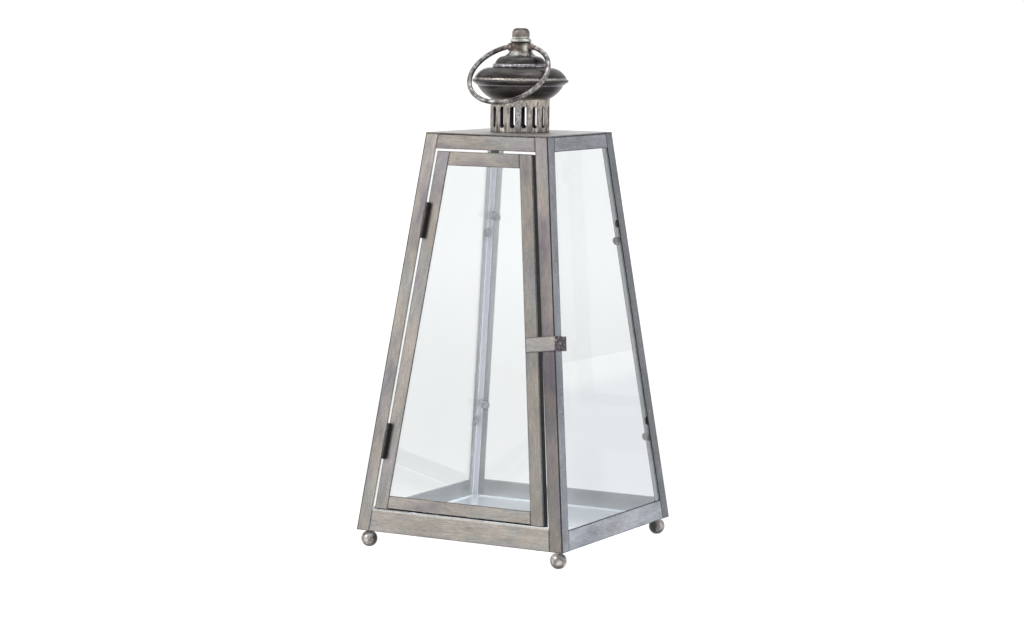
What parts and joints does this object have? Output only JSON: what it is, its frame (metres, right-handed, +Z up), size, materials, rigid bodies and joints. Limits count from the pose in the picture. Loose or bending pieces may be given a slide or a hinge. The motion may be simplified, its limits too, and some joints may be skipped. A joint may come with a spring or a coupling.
{
  "type": "candle lantern",
  "caption": "Tapered square candle lantern with glass panes, side-hinged glass door, wrap-round latch strap, slotted vent collar, domed cap, swinging ring handle and ball feet",
  "frame": {"origin": "on the ground under the middle of the base, at the height of the feet's flats", "axes": "+Z up; the door faces -Y; +X is to the right when facing the door, on the latch side"},
  "size_m": [0.2, 0.2, 0.4432],
  "materials": {
    "frame_metal": "antiqued brushed sheet steel, dull pewter tone",
    "door_metal": "antiqued brushed sheet steel, dull pewter tone",
    "cap_metal": "dark antiqued spun steel with worn bright edges",
    "finial_metal": "cast zinc-look finial with a pale patina",
    "ring_wire": "antiqued steel wire",
    "foot_metal": "mottled antiqued metal balls",
    "hinge_steel": "blackened steel hinges",
    "small_steel": "plain steel clips, tab and rivets",
    "glass": "clear float glass"
  },
  "bodies": {
    "lantern": {"corner_post_front_left": "frame_metal", "foot_front_left": "foot_metal", "corner_post_front_right": "frame_metal", "foot_front_right": "foot_metal", "corner_post_back_right": "frame_metal", "foot_back_right": "foot_metal", "corner_post_back_left": "frame_metal", "foot_back_left": "foot_metal", "bottom_band_front": "frame_metal", "top_band_front": "frame_metal", "bottom_band_right": "frame_metal", "top_band_right": "frame_metal", "bottom_band_back": "frame_metal", "top_band_back": "frame_metal", "bottom_band_left": "frame_metal", "top_band_left": "frame_metal", "base_plate": "frame_metal", "top_plate": "cap_metal", "foot_rivets": "small_steel", "pane_right": "glass", "pane_clips_right": "small_steel", "pane_back": "glass", "pane_clips_back": "small_steel", "pane_left": "glass", "pane_clips_left": "small_steel", "door_stop_tab": "small_steel", "hinge_lower_frame_knuckle": "hinge_steel", "hinge_lower_pin": "hinge_steel", "hinge_upper_frame_knuckle": "hinge_steel", "hinge_upper_pin": "hinge_steel", "vent_collar": "cap_metal", "cap_bowl": "cap_metal", "cap_dome": "cap_metal", "cap_crown": "cap_metal", "finial_neck": "finial_metal", "finial_nut": "finial_metal", "finial_knob": "finial_metal"},
    "door": {"door_stile_left": "door_metal", "door_stile_right": "door_metal", "door_rail_bottom": "door_metal", "door_rail_top": "door_metal", "door_glass": "glass", "door_glass_clips": "small_steel", "latch_strap": "door_metal", "hinge_lower_door_knuckle": "hinge_steel", "hinge_upper_door_knuckle": "hinge_steel"},
    "ring": {"ring_handle": "ring_wire"}
  },
  "joints": [
    {"name": "door_hinge", "type": "hinge", "parent": "lantern", "child": "door", "pos_m": [-0.07668, -0.09527, 0.07724], "axis": [-0.1203, -0.1203, -0.9854], "range_deg": [0, 175]},
    {"name": "ring_pivot", "type": "hinge", "parent": "lantern", "child": "ring", "pos_m": [0, 0, 0.427], "axis": [-0.9971, -0.0767, 0], "range_deg": [0, 265.4]}
  ]
}
